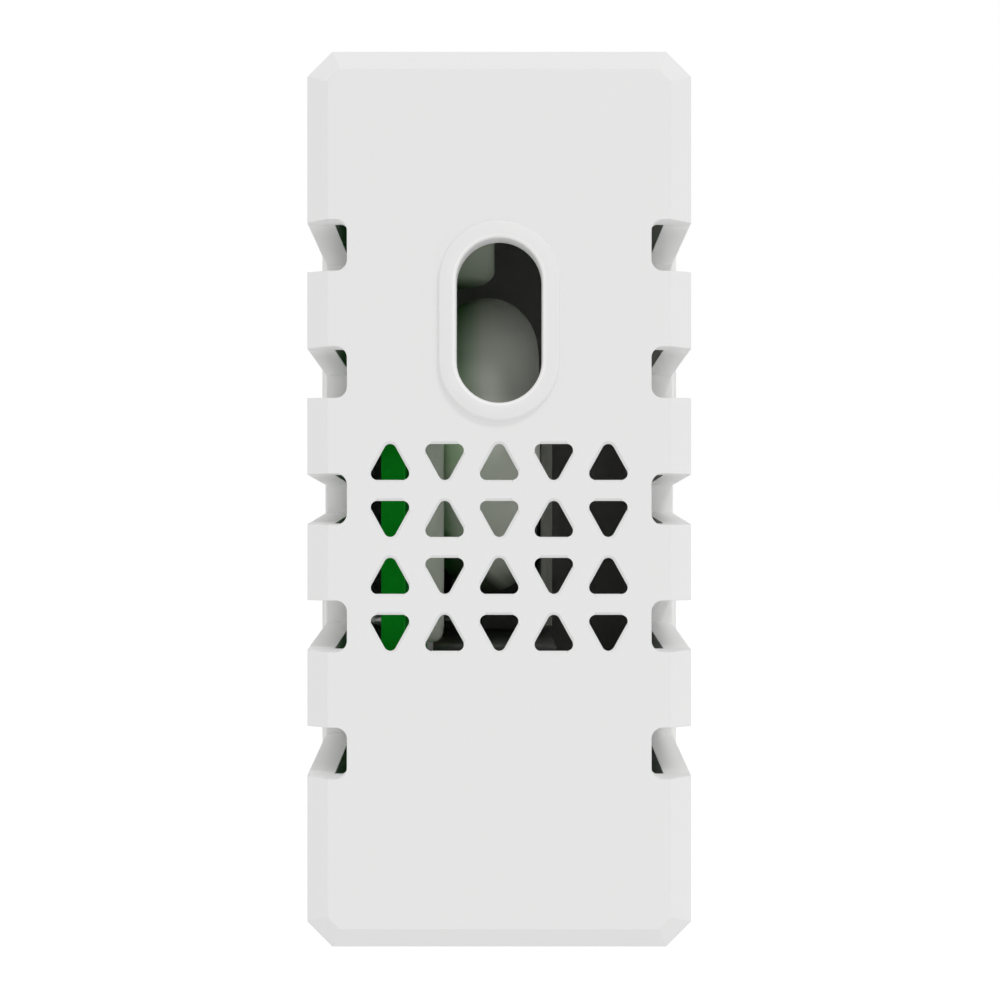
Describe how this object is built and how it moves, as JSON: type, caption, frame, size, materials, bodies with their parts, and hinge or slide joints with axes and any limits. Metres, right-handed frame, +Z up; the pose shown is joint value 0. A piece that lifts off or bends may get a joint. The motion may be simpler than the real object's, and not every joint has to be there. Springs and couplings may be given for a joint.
{
  "type": "surge protector module",
  "caption": "One-module wall-plate surge protector: vented rear cover with side slots, triangular vents and a lead outlet, front housing with latches, face plate and inner circuit.",
  "frame": {"origin": "middle of the foot of the whole part", "axes": "+Z up the long way of the casing, +Y from the vented back to the face in the room, +X across"},
  "size_m": [0.0224, 0.0306, 0.0499],
  "materials": {
    "cover_plastic": "fine moulded texture",
    "housing_plastic": "fine moulded texture",
    "face_plastic": "smooth satin",
    "lens_plastic": "clear red, polished",
    "board_laminate": "green solder mask",
    "varistor_coating": "grey epoxy coating",
    "tube_ceramic": "white ceramic with metal ends",
    "fuse_ceramic": "pale ceramic",
    "capacitor_case": "dark moulded box",
    "resistor_coating": "blue lacquer",
    "diode_case": "black moulding",
    "diode_glass": "amber glass",
    "led_plastic": "tinted clear",
    "tinned_metal": "tinned",
    "insulation_card": "pressed card"
  },
  "bodies": {
    "root": {"rear_cover": "cover_plastic", "front_housing": "housing_plastic", "face_plate": "face_plastic", "indicator_lens": "lens_plastic", "circuit_board": "board_laminate", "varistor_line_neutral": "varistor_coating", "varistor_line_earth": "varistor_coating", "gas_discharge_tube": "tube_ceramic", "thermal_fuse": "fuse_ceramic", "film_capacitor": "capacitor_case", "dropper_resistor": "resistor_coating", "bleed_resistor": "resistor_coating", "series_resistor": "resistor_coating", "rectifier_diode": "diode_case", "clamp_diode": "diode_glass", "indicator_led": "led_plastic", "line_tag": "tinned_metal", "neutral_tag": "tinned_metal", "earth_tag": "tinned_metal", "insulation_sheet": "insulation_card", "solder_joints": "tinned_metal"}
  },
  "joints": []
}
